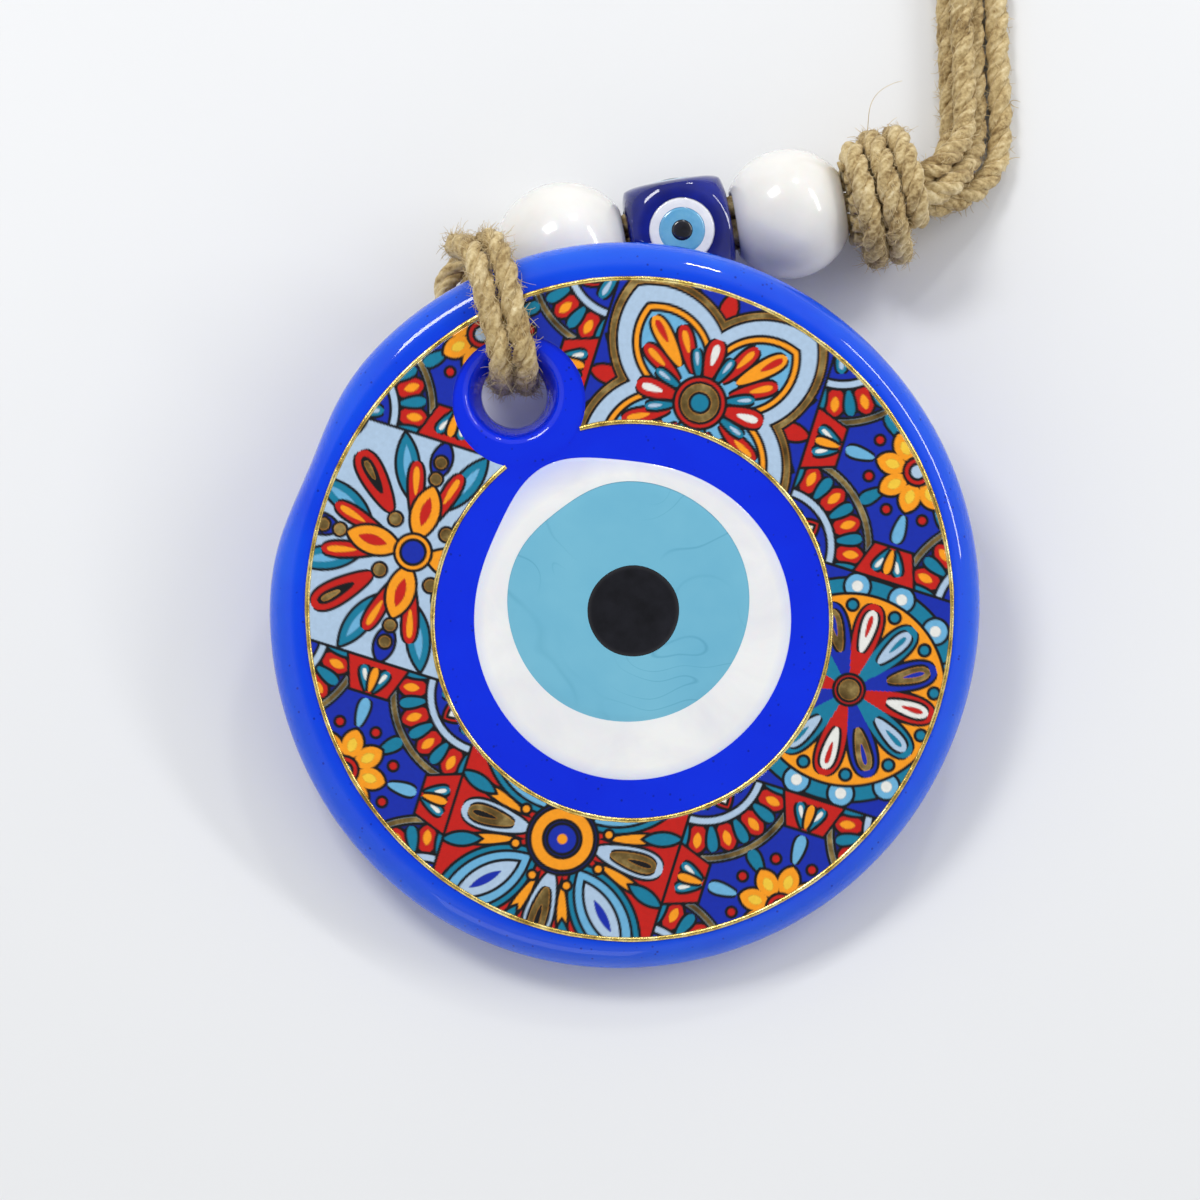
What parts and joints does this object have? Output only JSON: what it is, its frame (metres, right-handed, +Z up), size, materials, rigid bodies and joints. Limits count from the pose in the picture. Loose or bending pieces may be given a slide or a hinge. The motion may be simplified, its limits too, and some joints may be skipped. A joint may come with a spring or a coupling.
{
  "type": "evil eye ornament",
  "caption": "Round cobalt glass eye ornament with a printed tile band, strung on jute cords with white and cube beads, a wrapped knot and a hanging loop.",
  "frame": {"origin": "on the table, under the middle of the disc, the beads and the knot, leaving out the hanging loop", "axes": "+Z up out of the table that the ornament lies on face up, +Y from the disc's lower rim towards the beads, +X to the right as the eye is seen from above"},
  "size_m": [0.1146, 0.2112, 0.0312],
  "materials": {
    "disc_glass": "cobalt blue glass, glossy, translucent at the rim",
    "white_glass": "opaque white glass, glossy",
    "light_blue_glass": "opaque light blue glass with faint swirls, glossy",
    "black_glass": "opaque black glass, glossy",
    "printed_band": null,
    "gold_foil": "thin uneven gold foil",
    "white_glaze": "warm white, glossy",
    "navy_glass": "navy glass, glossy",
    "jute": "twisted jute cord with loose fibres"
  },
  "bodies": {
    "disc": {"disc_body": "disc_glass", "eye_white": "white_glass", "eye_iris": "light_blue_glass", "eye_pupil": "black_glass", "decal_band": "printed_band", "gold_outer_line": "gold_foil", "gold_inner_line": "gold_foil"},
    "sling": {"sling_cord_a": "jute", "sling_cord_b": "jute", "knot_wrap": "jute", "knot_core": "jute"},
    "low_bead": {"lower_bead": "white_glaze"},
    "eye_cube": {"cube_bead": "navy_glass", "cube_eye_whites": "white_glass", "cube_eye_irises": "light_blue_glass", "cube_eye_pupils": "black_glass"},
    "high_bead": {"upper_bead": "white_glaze"},
    "loop": {"loop_cord_a": "jute", "loop_cord_b": "jute"}
  },
  "joints": [
    {"name": "sling_swing", "type": "hinge", "parent": "disc", "child": "sling", "pos_m": [-0.0155, 0.01861, 0.02019], "axis": [0, 0, 1], "range_deg": [-8, 20]},
    {"name": "lower_bead_spin", "type": "hinge", "parent": "sling", "child": "low_bead", "pos_m": [-0.0085, 0.04236, 0.01], "axis": [0.9848, 0.1736, 0], "continuous": true},
    {"name": "cube_bead_spin", "type": "hinge", "parent": "sling", "child": "eye_cube", "pos_m": [0.00802, 0.04528, 0.01], "axis": [0.9848, 0.1736, 0], "continuous": true},
    {"name": "upper_bead_spin", "type": "hinge", "parent": "sling", "child": "high_bead", "pos_m": [0.02378, 0.04805, 0.01], "axis": [0.9848, 0.1736, 0], "continuous": true},
    {"name": "loop_swing", "type": "hinge", "parent": "sling", "child": "loop", "pos_m": [0.0417, 0.05121, 0.01], "axis": [0, 0, 1], "range_deg": [-15, 12]}
  ]
}
